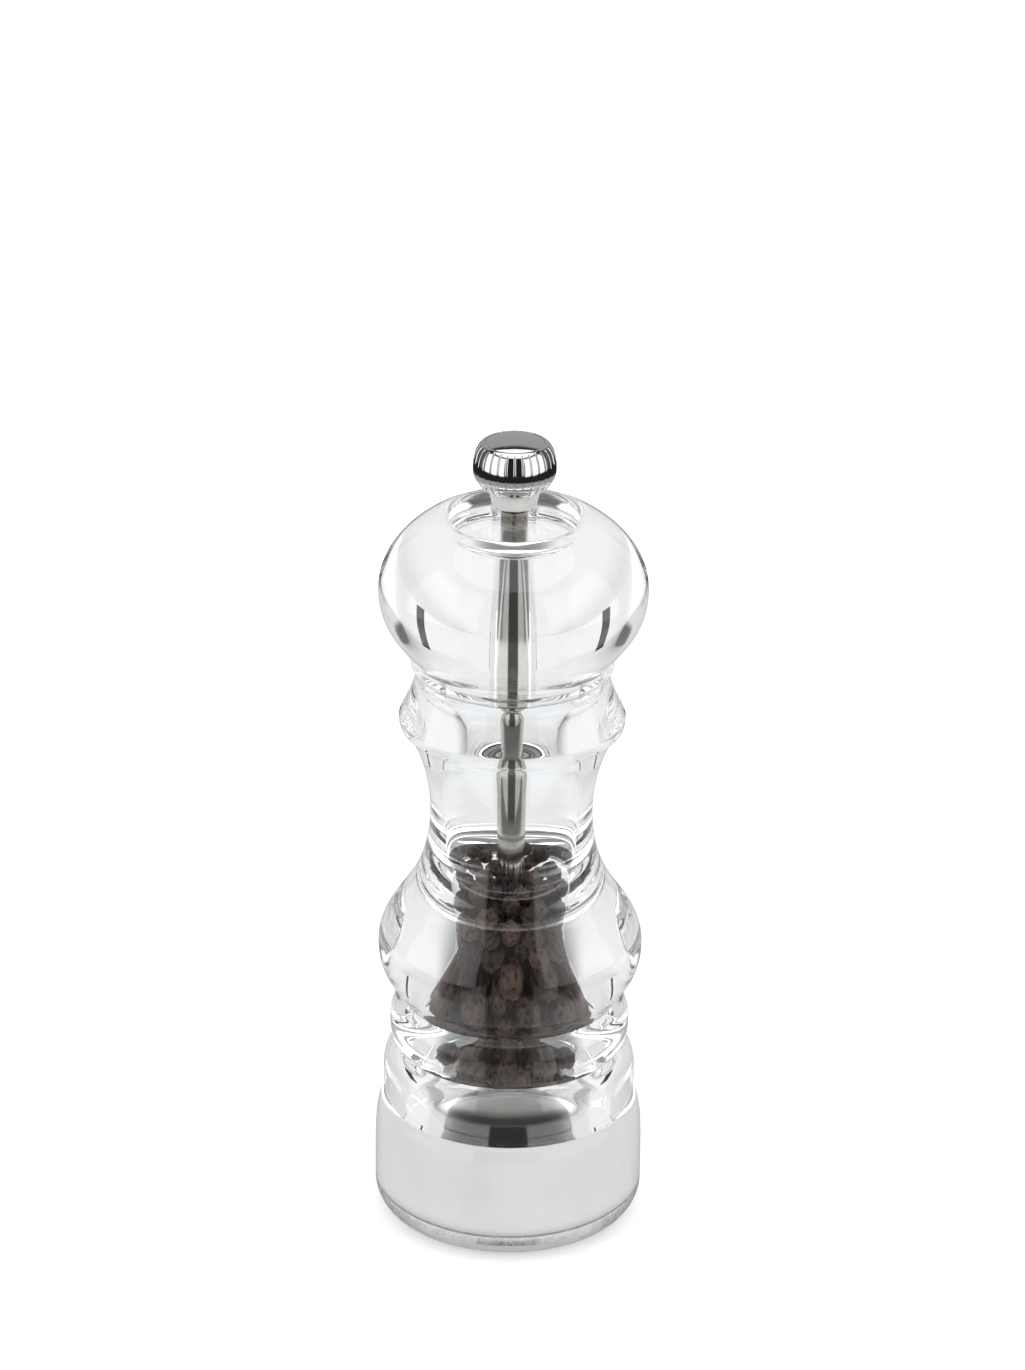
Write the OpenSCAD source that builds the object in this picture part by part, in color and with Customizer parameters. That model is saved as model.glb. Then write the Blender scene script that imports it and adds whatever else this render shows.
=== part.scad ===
// Pepper mill: a clear turned body and head, a chromed adjusting knob on a steel shaft, and
// a steel grinding set in a moulded carrier under the drum.  Millimetres, +Z up, the origin is the
// centre of the base.  Turning the head turns the shaft; turning the knob sets the grind.

/* [Body outline] */
// Radius of the drum
drum_r = 29.1; // [28:0.1:31]
// Height of the drum
drum_h = 27; // [27:0.5:30]
// Radius of the rounding under the drum
foot_round = 6.8; // [3:0.1:6.9]
// Height of the drum's rounded shoulder
shoulder_h = 13; // [8:0.5:15]
// Radius of the groove above the drum
drum_groove_r = 26.6; // [25:0.1:27]
// Radius of the lower ring
low_ring_r = 27.35; // [27.1:0.05:28.5]
// Height of the lower ring
low_ring_h = 13.1; // [11:0.1:14]
// Radius of the groove between the two rings
mid_groove_r = 24.4; // [23:0.1:25.5]
// Radius of the upper ring
up_ring_r = 25.9; // [25.6:0.1:27]
// Height of the upper ring
up_ring_h = 11.1; // [9:0.1:12]
// Radius of the groove under the belly
belly_groove_r = 23.1; // [22:0.1:24]
// Radius of the belly
belly_r = 28.45; // [26:0.05:30]
// Height from the groove to the widest place of the belly
belly_rise = 12.8; // [11:0.1:15]
// Height from the widest place of the belly down its long curve to the waist
belly_fall = 31.4; // [27:0.1:35]
// Radius of the waist
waist_r = 17.4; // [16.6:0.1:19]
// Height from the waist to the bead
neck_rise = 22; // [20:0.1:25]
// Radius of the bead
bead_r = 24.1; // [23:0.1:26]
// Height of the bead's lower half
bead_h = 3; // [2:0.1:4]
// Step from the neck out to the bead
bead_step = 1.5; // [1:0.1:2]
// Radius of the body's top edge
top_edge_r = 21.7; // [20:0.1:22.5]
// Height from the bead to the body's top
top_neck_h = 12; // [11:0.1:14]
// Pull of the cove between the bead and the top edge
cove_d = 3.3; // [2:0.1:4]

/* [Body inside] */
// Radius of the pepper chamber at its top
bore_r = 13.75; // [13.5:0.05:14.25]
// Radius of the pepper chamber at its foot
bore_foot_r = 17.9; // [16:0.1:18.5]
// Height of the funnel that leads from the chamber's foot into the throat
funnel_h = 3; // [2:0.1:5]
// Radius of the throat that the stator's sleeve sits in
seat_r = 13.75; // [13.5:0.05:14.25]
// Radius of the register that the head turns in
register_r = 16; // [15:0.1:17]
// Depth of the register
register_h = 4; // [3.5:0.1:6]
// Height of the cone that leads from the register into the chamber
mouth_cone_h = 7; // [4:0.1:9]
// Radius of the cavity for the grinding set
cavity_r = 22; // [21:0.1:23.5]
// Height of the cavity
cavity_h = 25.5; // [25:0.1:26]

/* [Head] */
// Gap between the body and the head
head_gap = 0.2; // [0.1:0.05:0.5]
// Height of the head from its underside to its lip
head_h = 33.35; // [30:0.05:36]
// Radius of the head's underside
head_foot_r = 20.4; // [19:0.1:21]
// Radius of the head
head_r = 28.5; // [27:0.1:30]
// Height of the head's widest place above its underside
head_rise = 16.6; // [15:0.1:18]
// Radius of the crest of the head's lip
lip_r = 15.5; // [14.8:0.1:17]
// Radius of the dish at its rim
dish_r = 13.8; // [12:0.1:14]
// Depth of the dish under the lip
dish_depth = 8.75; // [7:0.05:10]
// Height of the spigot that locates the head
spigot_h = 3; // [2:0.1:3.4]
// Clearance of the spigot in its register, on the radius
spigot_fit = 0.1; // [0.05:0.01:0.2]
// Radius of the boss in the dish
boss_r = 4.7; // [4.4:0.05:5.5]
// Height of the boss above the dish
boss_h = 11.2; // [10:0.1:12]
// Clearance of the head's bore round the shaft, on the radius
head_bore_gap = 0.3; // [0.3:0.05:0.5]

/* [Knob and collar] */
// Height of the collar
collar_h = 3.2; // [2:0.1:5]
// Radius of the collar where it meets the boss
collar_foot_r = 4.75; // [4.2:0.05:5.2]
// Radius of the collar where it meets the knob
collar_top_r = 5.4; // [5:0.05:5.5]
// Gap between the collar and the knob
knob_gap = 0.1; // [0.05:0.05:0.3]
// Height of the knob with its cap
knob_h = 11.5; // [10.5:0.1:14]
// Radius of the knob
knob_r = 8.75; // [8.4:0.05:10]
// Radius of the knob's underside
knob_foot_r = 5.5; // [4.8:0.1:5.7]
// Number of ribs round the knob
knob_ribs = 30; // [24:1:40]
// Depth of the grooves between the ribs
rib_depth = 0.35; // [0.2:0.05:0.5]
// Radius of the knob's cap
cap_r = 6.2; // [5.5:0.1:6.5]
// Thickness of the cap at its edge
cap_edge_t = 0.9; // [0.6:0.1:1.2]
// Rise of the cap's dome
cap_dome_h = 1; // [0.6:0.1:1.4]
// Radius of the brass insert
insert_r = 3.6; // [3:0.1:4]

/* [Shaft] */
// Radius of the shaft
shaft_r = 3; // [2.8:0.05:3.1]
// Width across the shaft's two flats
flats_w = 4.8; // [4.6:0.1:5.2]
// Height of the flats above the rotor's underside
flats_h = 28; // [26:0.5:32]
// Width across the two flats of the tang that turns with the head
tang_w = 4.8; // [4.6:0.1:5.2]
// Clearance of the tang in the head, on each side
tang_fit = 0.05; // [0.03:0.01:0.1]
// Depth of the tang's lower end under the dish
tang_drop = 3.2; // [2:0.1:5]
// Depth of the turned neck's upper end below the body's top
neck_drop = 8.5; // [7.5:0.1:11]
// Radius of the thread that carries the knob
knob_thread_r = 2; // [1.5:0.05:2.05]
// Length of thread above the knob's underside
knob_thread_h = 7.8; // [5:0.1:8]
// Travel of the shaft each way from rest, one pitch of the knob's thread
feed = 0.7; // [0.3:0.1:0.7]
// Clearance of the knob's thread, on the radius
thread_fit = 0.05; // [0.03:0.01:0.1]
// Radius of the thread at the lower end
nut_thread_r = 2.3; // [2:0.05:2.35]

/* [Grinding set] */
// Height of the circlip above the base
circlip_up = 3.2; // [2:0.1:4]
// Thickness of the circlip
circlip_t = 1.2; // [0.8:0.1:1.5]
// Depth of the circlip's groove
groove_d = 1.1; // [0.8:0.1:1.4]
// Width of the circlip between its inner edge and the cavity's wall
circlip_w = 1.5; // [1:0.1:2]
// Clearance of the carrier in the cavity
carrier_fit = 0.1; // [0.05:0.05:0.3]
// Radius of the stator's flange
stator_r = 16; // [15.7:0.1:17]
// Height of the stator's flange
flange_h = 11.4; // [11:0.1:12]
// Height of the sleeve that reaches up into the chamber
sleeve_h = 8.6; // [8:0.1:10]
// Clearance of the sleeve in the chamber
sleeve_fit = 0.15; // [0.1:0.05:0.3]
// Radius of the stator's mouth
mouth_r = 10.5; // [10.3:0.1:10.8]
// Depth of the stator's mouth
mouth_h = 4; // [3:0.1:5]
// Radius of the stator's throat
throat_r = 9.5; // [9.2:0.1:9.8]
// Radius of the stator's outlet
outlet_r = 11.5; // [11.3:0.1:12]
// Number of the stator's grooves
stator_teeth = 28; // [20:1:32]
// Depth of the stator's grooves
stator_tooth_d = 0.7; // [0.4:0.1:0.8]
// Lean of the stator's grooves
stator_lean = 8; // [0:1:12]
// Height of the rotor
rotor_h = 14; // [13:0.1:15]
// Radius of the rotor's top
rotor_top_r = 5; // [4.8:0.1:5.5]
// Grinding gap at the outlet
grind_gap = 0.5; // [0.4:0.05:0.8]
// Number of the rotor's grooves
rotor_teeth = 24; // [16:1:28]
// Depth of the rotor's grooves
rotor_tooth_d = 1; // [0.6:0.1:1.2]
// Lean of the rotor's grooves
rotor_lean = 14; // [0:1:20]
// Inner radius of the carrier's ledge
ledge_r = 12.6; // [12.4:0.1:13]
// Thickness of the carrier's ledge
ledge_t = 2.5; // [2:0.1:3]
// Inner radius of the carrier below the ledge
skirt_r = 18; // [17.5:0.1:19]
// Thickness of the bridge
bridge_t = 2; // [1.6:0.1:3]
// Width of the bridge's arms
arm_w = 3; // [2.4:0.1:3.4]
// Radius of the bridge's hub
hub_r = 5.3; // [5.1:0.05:5.4]
// Radius of the bush
bush_r = 4.2; // [4:0.05:4.4]
// Clearance of the bush in the bridge
bush_fit = 0.06; // [0.03:0.01:0.1]
// Radius of the bush's flange
bush_flange_r = 5.2; // [5:0.05:5.3]
// Thickness of the bush's flange
bush_flange_t = 1; // [0.8:0.1:1.4]
// Height of the bush above the bridge
bush_proud = 1; // [0.5:0.1:2]
// Thickness of the thrust washer
washer_t = 0.5; // [0.3:0.1:0.8]
// Mean radius of the spring
spring_r = 4.1; // [3.9:0.05:4.2]
// Radius of the spring's wire
wire_r = 0.35; // [0.25:0.05:0.4]
// Turns of the spring
spring_turns = 3.5; // [3:0.5:4]
// Thickness of the washer under the rotor
rotor_washer_t = 1; // [0.6:0.1:1.5]
// Radius of the washer under the rotor
rotor_washer_r = 6; // [5.5:0.1:8]
// Width of the lock nut across its flats
nut_w = 8; // [7:0.1:9]
// Height of the lock nut
nut_h = 3.5; // [2.5:0.1:4]
// Length of the shaft below the lock nut
tail_h = 1; // [0.5:0.1:1.5]

/* [Screws] */
// Radius of the screws' shanks
screw_r = 1; // [0.8:0.05:1.05]
// Clearance round a shank
screw_fit = 0.05; // [0.03:0.01:0.1]
// Radius of the bridge screws' heads
bridge_head_r = 1.45; // [1.3:0.05:1.5]
// Radius of the stator screws' heads
stator_head_r = 1.9; // [1.6:0.05:1.95]
// Height of a screw's head
screw_head_h = 1; // [0.8:0.1:1.2]
// Depth of a screw in the stator
screw_depth = 5; // [3:0.1:6]

/* [Peppercorns] */
// Radius of a peppercorn
corn_r = 2.5; // [2.3:0.05:2.55]
// Number of peppercorns in a ring along the wall
corns_round = 15; // [12:1:15]
// Number of peppercorns in the lowest ring, in the funnel
funnel_corns = 13; // [10:1:13]
// Number of rings along the wall, over the lowest one
corn_levels = 10; // [6:1:11]
// Number of rings with peppercorns inside them
inner_levels = 3; // [1:1:6]
// Rise from ring to ring
corn_pitch = 4.4; // [4.35:0.05:5]
// Gap between a peppercorn and the wall
corn_gap = 0.05; // [0.02:0.01:0.1]

/* [Hidden] */
$fn = 96;

slip = 0.03;      // clearance between pieces that are pushed together
end_gap = 0.2;    // clearance past the end of a travel
over = 1;         // how far a cutting tool runs past what it cuts
screw_slot_w = 0.4;
inner_corns = 8;  // peppercorns in a ring inside another ring

// heights of the body, from the base up
drum_top_z = drum_h;
low_ring_top_z = drum_top_z + low_ring_h;
up_ring_top_z = low_ring_top_z + up_ring_h;
belly_z = up_ring_top_z + belly_rise;
waist_z = belly_z + belly_fall;
bead_z = waist_z + neck_rise;
bead_foot_z = bead_z - bead_h;
bead_foot_r = bead_r - bead_step;
body_top_z = bead_z + top_neck_h;
register_z = body_top_z - register_h;
mouth_cone_z = register_z - mouth_cone_h;

// heights of the head, the collar and the knob
head_z = body_top_z + head_gap;
lip_z = head_z + head_h;
spigot_z = head_z - spigot_h;
head_wide_z = head_z + head_rise;
dish_z = lip_z - dish_depth;
boss_top_z = dish_z + boss_h;
collar_top_z = boss_top_z + collar_h;
knob_z = collar_top_z + knob_gap;
knob_top_z = knob_z + knob_h;
cap_z = knob_top_z - cap_dome_h - cap_edge_t;

// heights and radii of the grinding set
circlip_top_z = circlip_up + circlip_t;
carrier_r = cavity_r - carrier_fit;
carrier_top_z = cavity_h - carrier_fit;
stator_z = carrier_top_z - flange_h;
stator_top_z = carrier_top_z + sleeve_h;
throat_z = stator_top_z - mouth_h;
sleeve_r = seat_r - sleeve_fit;
ledge_z = stator_z - ledge_t;
rotor_z = stator_z;
rotor_top_z = rotor_z + rotor_h;
rotor_r = outlet_r - grind_gap;
bridge_z = stator_top_z;
bridge_top_z = bridge_z + bridge_t;
funnel_z = bridge_top_z + screw_head_h;
bore_foot_z = funnel_z + funnel_h;
flange_under_z = bridge_z - bush_flange_t;
washer_z = flange_under_z - washer_t;
rotor_washer_z = rotor_z - rotor_washer_t;
nut_z = rotor_washer_z - nut_h;
shaft_z = nut_z - tail_h;
bridge_screw_r = (mouth_r + sleeve_r) / 2;
stator_screw_r = (outlet_r + stator_tooth_d + stator_r) / 2;
screw_angles = [30, 150, 270];

// heights of the shaft
neck_top_z = body_top_z - neck_drop;
tang_z = dish_z - tang_drop;
flats_top_z = rotor_z + flats_h;
tang_top_z = boss_top_z - feed - end_gap;
shaft_top_z = knob_z + knob_thread_h;

// points of a cubic curve from a to d, its first point left out
function curve(a, b, c, d, n = 8) =
    [for (i = [1:n]) let (t = i / n)
        pow(1 - t, 3) * a + 3 * pow(1 - t, 2) * t * b + 3 * (1 - t) * t * t * c + pow(t, 3) * d];

// one turned ring, from the groove at a out to radius r and back to the groove at b
function ring(a, b, r) =
    let (rise = b[1] - a[1], mid = (a[1] + b[1]) / 2)
    concat(
        curve(a, [r - 0.3 * (r - a[0]), a[1] + 0.1 * rise], [r, mid - 0.25 * rise], [r, mid], 7),
        curve([r, mid], [r, mid + 0.25 * rise], [r - 0.3 * (r - b[0]), b[1] - 0.1 * rise], b, 7));

// a cylinder with two flats, along Z
module flatted(r, w, h) {
    intersection() {
        cylinder(r = r, h = h);
        translate([-r - over, -w / 2, -over]) cube([2 * (r + over), w, h + 2 * over]);
    }
}

// copies round the axis at the three screw places, at radius r
module at_screws(r) {
    for (a = screw_angles) rotate(a) translate([r, 0, 0]) children();
}

function body_outline() = concat(
    [[cavity_r, 0], [drum_r - foot_round, 0]],
    [for (a = [-75:15:0]) [drum_r - foot_round + foot_round * cos(a), foot_round + foot_round * sin(a)]],
    [[drum_r, drum_top_z - shoulder_h]],
    curve([drum_r, drum_top_z - shoulder_h], [drum_r, drum_top_z - 0.3 * shoulder_h],
          [drum_groove_r + 0.8 * (drum_r - drum_groove_r), drum_top_z], [drum_groove_r, drum_top_z], 10),
    ring([drum_groove_r, drum_top_z], [mid_groove_r, low_ring_top_z], low_ring_r),
    ring([mid_groove_r, low_ring_top_z], [belly_groove_r, up_ring_top_z], up_ring_r),
    curve([belly_groove_r, up_ring_top_z],
          [belly_groove_r + 0.41 * (belly_r - belly_groove_r), up_ring_top_z + 0.31 * belly_rise],
          [belly_r, belly_z - 0.53 * belly_rise], [belly_r, belly_z]),
    curve([belly_r, belly_z], [belly_r, belly_z + 0.32 * belly_fall],
          [waist_r, waist_z - 0.62 * belly_fall], [waist_r, waist_z], 14),
    curve([waist_r, waist_z], [waist_r, waist_z + 0.37 * (bead_foot_z - waist_z)],
          [bead_foot_r - 0.55 * (bead_foot_r - waist_r), bead_foot_z - 0.21 * (bead_foot_z - waist_z)],
          [bead_foot_r, bead_foot_z]),
    curve([bead_foot_r, bead_foot_z], [bead_foot_r + 0.6 * bead_step, bead_foot_z + 0.15 * bead_h],
          [bead_r, bead_z - 0.8 * bead_h], [bead_r, bead_z], 6),
    curve([bead_r, bead_z], [bead_r, bead_z + 0.05 * top_neck_h],
          [top_edge_r - cove_d, body_top_z - 0.19 * top_neck_h],
          [top_edge_r, body_top_z], 10));

module body() {
    color([0.93, 0.95, 0.96, 0.35])
        difference() {
            rotate_extrude()
                polygon(concat(body_outline(), [
                    [register_r, body_top_z], [register_r, register_z], [bore_r, mouth_cone_z],
                    [bore_foot_r, bore_foot_z], [seat_r, funnel_z], [seat_r, cavity_h],
                    [cavity_r, cavity_h]]));
            translate([0, 0, circlip_up]) cylinder(r = cavity_r + groove_d, h = circlip_t);
        }
}

// moulded carrier: the stator sits on its ledge, the circlip holds it up in the cavity
module housing() {
    color([0.94, 0.94, 0.92])
        difference() {
            translate([0, 0, circlip_top_z])
                cylinder(r = carrier_r, h = carrier_top_z - circlip_top_z);
            translate([0, 0, circlip_top_z - over]) cylinder(r = skirt_r, h = ledge_z - circlip_top_z + over);
            translate([0, 0, ledge_z - over]) cylinder(r = ledge_r, h = ledge_t + 2 * over);
            translate([0, 0, stator_z]) cylinder(r = stator_r + slip, h = flange_h + over);
            at_screws(stator_screw_r) translate([0, 0, ledge_z - over])
                cylinder(r = screw_r + screw_fit, h = ledge_t + 2 * over);
        }
}

// open snap ring with two eyes for the pliers
module circlip() {
    inner_r = cavity_r - circlip_w;
    eye_r = 1.7;
    gap_w = 5;
    color([0.35, 0.35, 0.37])
        translate([0, 0, circlip_up])
            difference() {
                union() {
                    difference() {
                        cylinder(r = cavity_r + groove_d - carrier_fit, h = circlip_t);
                        translate([0, 0, -over]) cylinder(r = inner_r, h = circlip_t + 2 * over);
                        translate([-gap_w / 2, inner_r - 2 * eye_r, -over])
                            cube([gap_w, 4 * eye_r, circlip_t + 2 * over]);
                    }
                    for (s = [-1, 1]) translate([s * (gap_w / 2 + eye_r), inner_r - eye_r / 2, 0])
                        cylinder(r = eye_r, h = circlip_t);
                }
                for (s = [-1, 1]) translate([s * (gap_w / 2 + eye_r), inner_r - eye_r / 2, -over])
                    cylinder(r = eye_r / 2, h = circlip_t + 2 * over);
            }
}

// grinding ring: a toothed cone that opens downwards, with a sleeve up into the chamber
module stator() {
    tooth_h = throat_z - stator_z;
    taper = atan((outlet_r - throat_r) / tooth_h);
    color([0.42, 0.41, 0.40])
        difference() {
            rotate_extrude()
                polygon([
                    [outlet_r, stator_z], [stator_r, stator_z], [stator_r, carrier_top_z],
                    [sleeve_r, carrier_top_z], [sleeve_r, stator_top_z], [mouth_r, stator_top_z],
                    [throat_r, throat_z]]);
            for (i = [0:stator_teeth - 1]) rotate(i * 360 / stator_teeth)
                translate([outlet_r, 0, stator_z]) rotate([0, -taper, 0]) rotate([stator_lean, 0, 0])
                    translate([0, 0, -over]) rotate(45)
                        translate([-stator_tooth_d / sqrt(2), -stator_tooth_d / sqrt(2), 0])
                            cube([stator_tooth_d * sqrt(2), stator_tooth_d * sqrt(2), tooth_h - over]);
            at_screws(bridge_screw_r) translate([0, 0, stator_top_z - screw_depth])
                cylinder(r = screw_r + slip, h = screw_depth + over);
            at_screws(stator_screw_r) translate([0, 0, stator_z - over])
                cylinder(r = screw_r + slip, h = screw_depth + over);
        }
}

module screw(head_r, length) {
    difference() {
        union() {
            cylinder(r = screw_r, h = length);
            translate([0, 0, length]) cylinder(r = head_r, h = screw_head_h);
        }
        translate([-head_r - over, -screw_slot_w / 2, length + screw_head_h / 2])
            cube([2 * (head_r + over), screw_slot_w, screw_head_h]);
    }
}

module stator_screws() {
    length = screw_depth - slip + ledge_t;
    color([0.75, 0.75, 0.76])
        at_screws(stator_screw_r) translate([0, 0, ledge_z + length]) rotate([180, 0, 0])
            screw(stator_head_r, length);
}

// spider over the grinding set: the bush turns in its hub
module bearing_bridge() {
    color([0.68, 0.68, 0.68])
        difference() {
            union() {
                difference() {
                    translate([0, 0, bridge_z]) cylinder(r = sleeve_r, h = bridge_t);
                    translate([0, 0, bridge_z - over]) cylinder(r = mouth_r, h = bridge_t + 2 * over);
                }
                translate([0, 0, bridge_z]) cylinder(r = hub_r, h = bridge_t);
                for (a = screw_angles) rotate(a) translate([(hub_r + bush_r) / 2, -arm_w / 2, bridge_z])
                    cube([(mouth_r + sleeve_r) / 2 - (hub_r + bush_r) / 2, arm_w, bridge_t]);
            }
            translate([0, 0, bridge_z - over]) cylinder(r = bush_r + bush_fit, h = bridge_t + 2 * over);
            at_screws(bridge_screw_r) translate([0, 0, bridge_z - over])
                cylinder(r = screw_r + screw_fit, h = bridge_t + 2 * over);
        }
}

module bridge_screws() {
    length = screw_depth - slip + bridge_t;
    color([0.75, 0.75, 0.76])
        at_screws(bridge_screw_r) translate([0, 0, bridge_top_z - length])
            screw(bridge_head_r, length);
}

// bush that turns in the bridge, keyed to the shaft's flats
module drive_bush() {
    bush_h = bush_flange_t + bridge_t + bush_proud;
    color([0.9, 0.9, 0.86])
        difference() {
            union() {
                translate([0, 0, flange_under_z]) cylinder(r = bush_flange_r, h = bush_flange_t);
                translate([0, 0, flange_under_z])
                    cylinder(r = bush_r, h = bush_h);
            }
            translate([0, 0, flange_under_z - over])
                flatted(shaft_r + slip, flats_w + 2 * slip, bush_h + 2 * over);
        }
}

module thrust_washer() {
    color([0.72, 0.72, 0.72])
        difference() {
            translate([0, 0, washer_z]) cylinder(r = bush_flange_r, h = washer_t);
            translate([0, 0, washer_z - over]) cylinder(r = shaft_r + 2 * slip, h = washer_t + 2 * over);
        }
}

// compression spring between the thrust washer and the rotor: a round wire along a helix
module spring() {
    sides = 8;
    steps_a_turn = 20;
    steps = ceil(spring_turns * steps_a_turn);
    low_z = rotor_top_z + wire_r + slip;
    rise = washer_z - wire_r - slip - low_z;
    points = [for (i = [0:steps], j = [0:sides - 1])
        let (a = i * 360 / steps_a_turn, b = j * 360 / sides, r = spring_r + wire_r * cos(b))
        [r * cos(a), r * sin(a), low_z + rise * i / steps + wire_r * sin(b)]];
    faces = concat(
        [[for (j = [0:sides - 1]) j]],
        [for (i = [0:steps - 1], j = [0:sides - 1])
            [i * sides + j, (i + 1) * sides + j, (i + 1) * sides + (j + 1) % sides]],
        [for (i = [0:steps - 1], j = [0:sides - 1])
            [i * sides + j, (i + 1) * sides + (j + 1) % sides, i * sides + (j + 1) % sides]],
        [[for (j = [sides - 1:-1:0]) steps * sides + j]]);
    color([0.6, 0.6, 0.6]) polyhedron(points, faces);
}

// shaft: thread, flats, round rod with a turned neck, flatted tang and thread for the knob
module shaft() {
    neck_foot = [shaft_r, neck_top_z - 11.8];
    neck = [0.73 * shaft_r, neck_top_z - 6.9];
    bead = [0.91 * shaft_r, neck_top_z - 4.2];
    bead_neck = [0.74 * shaft_r, neck_top_z - 1.5];
    neck_top = [shaft_r, neck_top_z];
    color([0.63, 0.62, 0.6])
        union() {
            translate([0, 0, shaft_z]) cylinder(r = nut_thread_r, h = rotor_z - shaft_z);
            translate([0, 0, rotor_z]) flatted(shaft_r, flats_w, flats_top_z - rotor_z);
            rotate_extrude()
                polygon(concat(
                    [[0, flats_top_z], [shaft_r, flats_top_z], neck_foot],
                    curve(neck_foot, neck_foot + [0, 1.5], neck - [0, 1.2], neck, 6),
                    curve(neck, neck + [0, 1], bead - [0, 1], bead, 5),
                    curve(bead, bead + [0, 1], bead_neck - [0, 1], bead_neck, 5),
                    curve(bead_neck, bead_neck + [0, 0.6], neck_top - [0, 0.5], neck_top, 4),
                    [[shaft_r, tang_z], [0, tang_z]]));
            translate([0, 0, tang_z]) rotate(90) flatted(shaft_r, tang_w, tang_top_z - tang_z);
            translate([0, 0, tang_top_z]) cylinder(r = knob_thread_r, h = shaft_top_z - tang_top_z);
        }
}

// toothed cone on the shaft, with leaning V-grooves
module rotor() {
    taper = atan((rotor_r - rotor_top_r) / rotor_h);
    color([0.4, 0.39, 0.38])
        difference() {
            translate([0, 0, rotor_z]) cylinder(r1 = rotor_r, r2 = rotor_top_r, h = rotor_h);
            for (i = [0:rotor_teeth - 1]) rotate(i * 360 / rotor_teeth)
                translate([rotor_r, 0, rotor_z]) rotate([0, -taper, 0]) rotate([rotor_lean, 0, 0])
                    translate([0, 0, -over]) rotate(45)
                        translate([-rotor_tooth_d / sqrt(2), -rotor_tooth_d / sqrt(2), 0])
                            cube([rotor_tooth_d * sqrt(2), rotor_tooth_d * sqrt(2), 0.75 * rotor_h]);
            translate([0, 0, rotor_z - over]) flatted(shaft_r + slip, flats_w + 2 * slip, rotor_h + 2 * over);
        }
}

module rotor_washer() {
    color([0.72, 0.72, 0.72])
        difference() {
            translate([0, 0, rotor_washer_z]) cylinder(r = rotor_washer_r, h = rotor_washer_t);
            translate([0, 0, rotor_washer_z - over])
                cylinder(r = nut_thread_r + slip, h = rotor_washer_t + 2 * over);
        }
}

module lock_nut() {
    color([0.7, 0.7, 0.7])
        difference() {
            translate([0, 0, nut_z]) cylinder(r = nut_w / 2 / cos(30), h = nut_h, $fn = 6);
            translate([0, 0, nut_z - over]) cylinder(r = nut_thread_r + slip, h = nut_h + 2 * over);
        }
}

// turned head: spigot below, dish with a boss above, bore for the shaft, flatted hole for its tang
module head() {
    foot = [head_foot_r, head_z];
    edge = [head_foot_r + 0.8, head_z + 1.3];
    wide = [head_r, head_wide_z];
    lip = [lip_r + 0.8, lip_z - 0.25];
    rim = [dish_r, lip_z - 0.65];
    hole_z = tang_z + feed + end_gap;
    spigot_r = register_r - spigot_fit;
    color([0.93, 0.95, 0.96, 0.35])
        difference() {
            rotate_extrude()
                polygon(concat(
                    [[0, spigot_z], [spigot_r, spigot_z], [spigot_r, head_z], foot],
                    curve(foot, foot + [0.5, 0.2], edge - [0.1, 0.4], edge, 3),
                    curve(edge, edge + [0.33 * (head_r - edge[0]), 0.25 * (head_wide_z - edge[1])],
                          wide - [0, 0.53 * (head_wide_z - edge[1])], wide, 10),
                    curve(wide, wide + [0, 0.51 * (lip[1] - head_wide_z)],
                          lip + [0.37 * (head_r - lip[0]), -0.126 * (lip[1] - head_wide_z)], lip, 12),
                    curve(lip, lip + [-0.5, 0.22], rim + [0.9, 0.75], rim, 6),
                    curve(rim, [dish_r - 0.8, dish_z + 0.3], [dish_r - 2.5, dish_z], [boss_r + 0.3, dish_z], 8),
                    [[boss_r, dish_z + 0.3], [boss_r, boss_top_z], [0, boss_top_z]]));
            translate([0, 0, spigot_z - over])
                cylinder(r = shaft_r + head_bore_gap, h = hole_z - spigot_z + over);
            translate([0, 0, hole_z - over]) rotate(90)
                flatted(shaft_r + tang_fit, tang_w + 2 * tang_fit, boss_top_z - hole_z + 2 * over);
        }
}

// tapered friction collar between the boss and the knob
module collar() {
    color([0.92, 0.92, 0.88])
        difference() {
            translate([0, 0, boss_top_z]) cylinder(r1 = collar_foot_r, r2 = collar_top_r, h = collar_h);
            translate([0, 0, boss_top_z - over])
                cylinder(r = knob_thread_r + 2 * thread_fit, h = collar_h + 2 * over);
        }
}

// chromed knob: a ribbed barrel with a seat for its cap
module knob() {
    foot = [knob_foot_r, knob_z];
    flare = [0.87 * knob_r, knob_z + 0.14 * knob_h];
    wide = [knob_r, knob_z + 0.41 * knob_h];
    edge = [cap_r + 0.6, cap_z + cap_edge_t - 0.1];
    color([0.86, 0.86, 0.87])
        difference() {
            rotate_extrude()
                polygon(concat(
                    [[0, knob_z], foot],
                    curve(foot, foot + [0.45 * (flare[0] - foot[0]), 0.1], flare - [0.5, 0.8], flare, 5),
                    curve(flare, flare + [0.65, 1], wide - [0, 1.3], wide, 5),
                    curve(wide, wide + [0, 0.53 * (edge[1] - wide[1])], edge + [1.1, -0.6], edge, 8),
                    [[cap_r + slip, cap_z + cap_edge_t], [cap_r + slip, cap_z], [0, cap_z]]));
            for (i = [0:knob_ribs - 1]) rotate((i + 0.5) * 360 / knob_ribs)
                translate([knob_r + rib_depth, 0, knob_z + over / 2])
                    cylinder(r = 2 * rib_depth, h = cap_z - knob_z - over);
            translate([0, 0, knob_z - over]) cylinder(r = insert_r + slip, h = cap_z - knob_z + 2 * over);
        }
}

// brass insert with the knob's blind thread
module knob_insert() {
    top_z = cap_z - 0.1;
    color([0.78, 0.64, 0.33])
        difference() {
            translate([0, 0, knob_z]) cylinder(r = insert_r, h = top_z - knob_z);
            translate([0, 0, knob_z - over])
                cylinder(r = knob_thread_r + thread_fit, h = knob_thread_h + feed + end_gap + over);
        }
}

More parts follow.
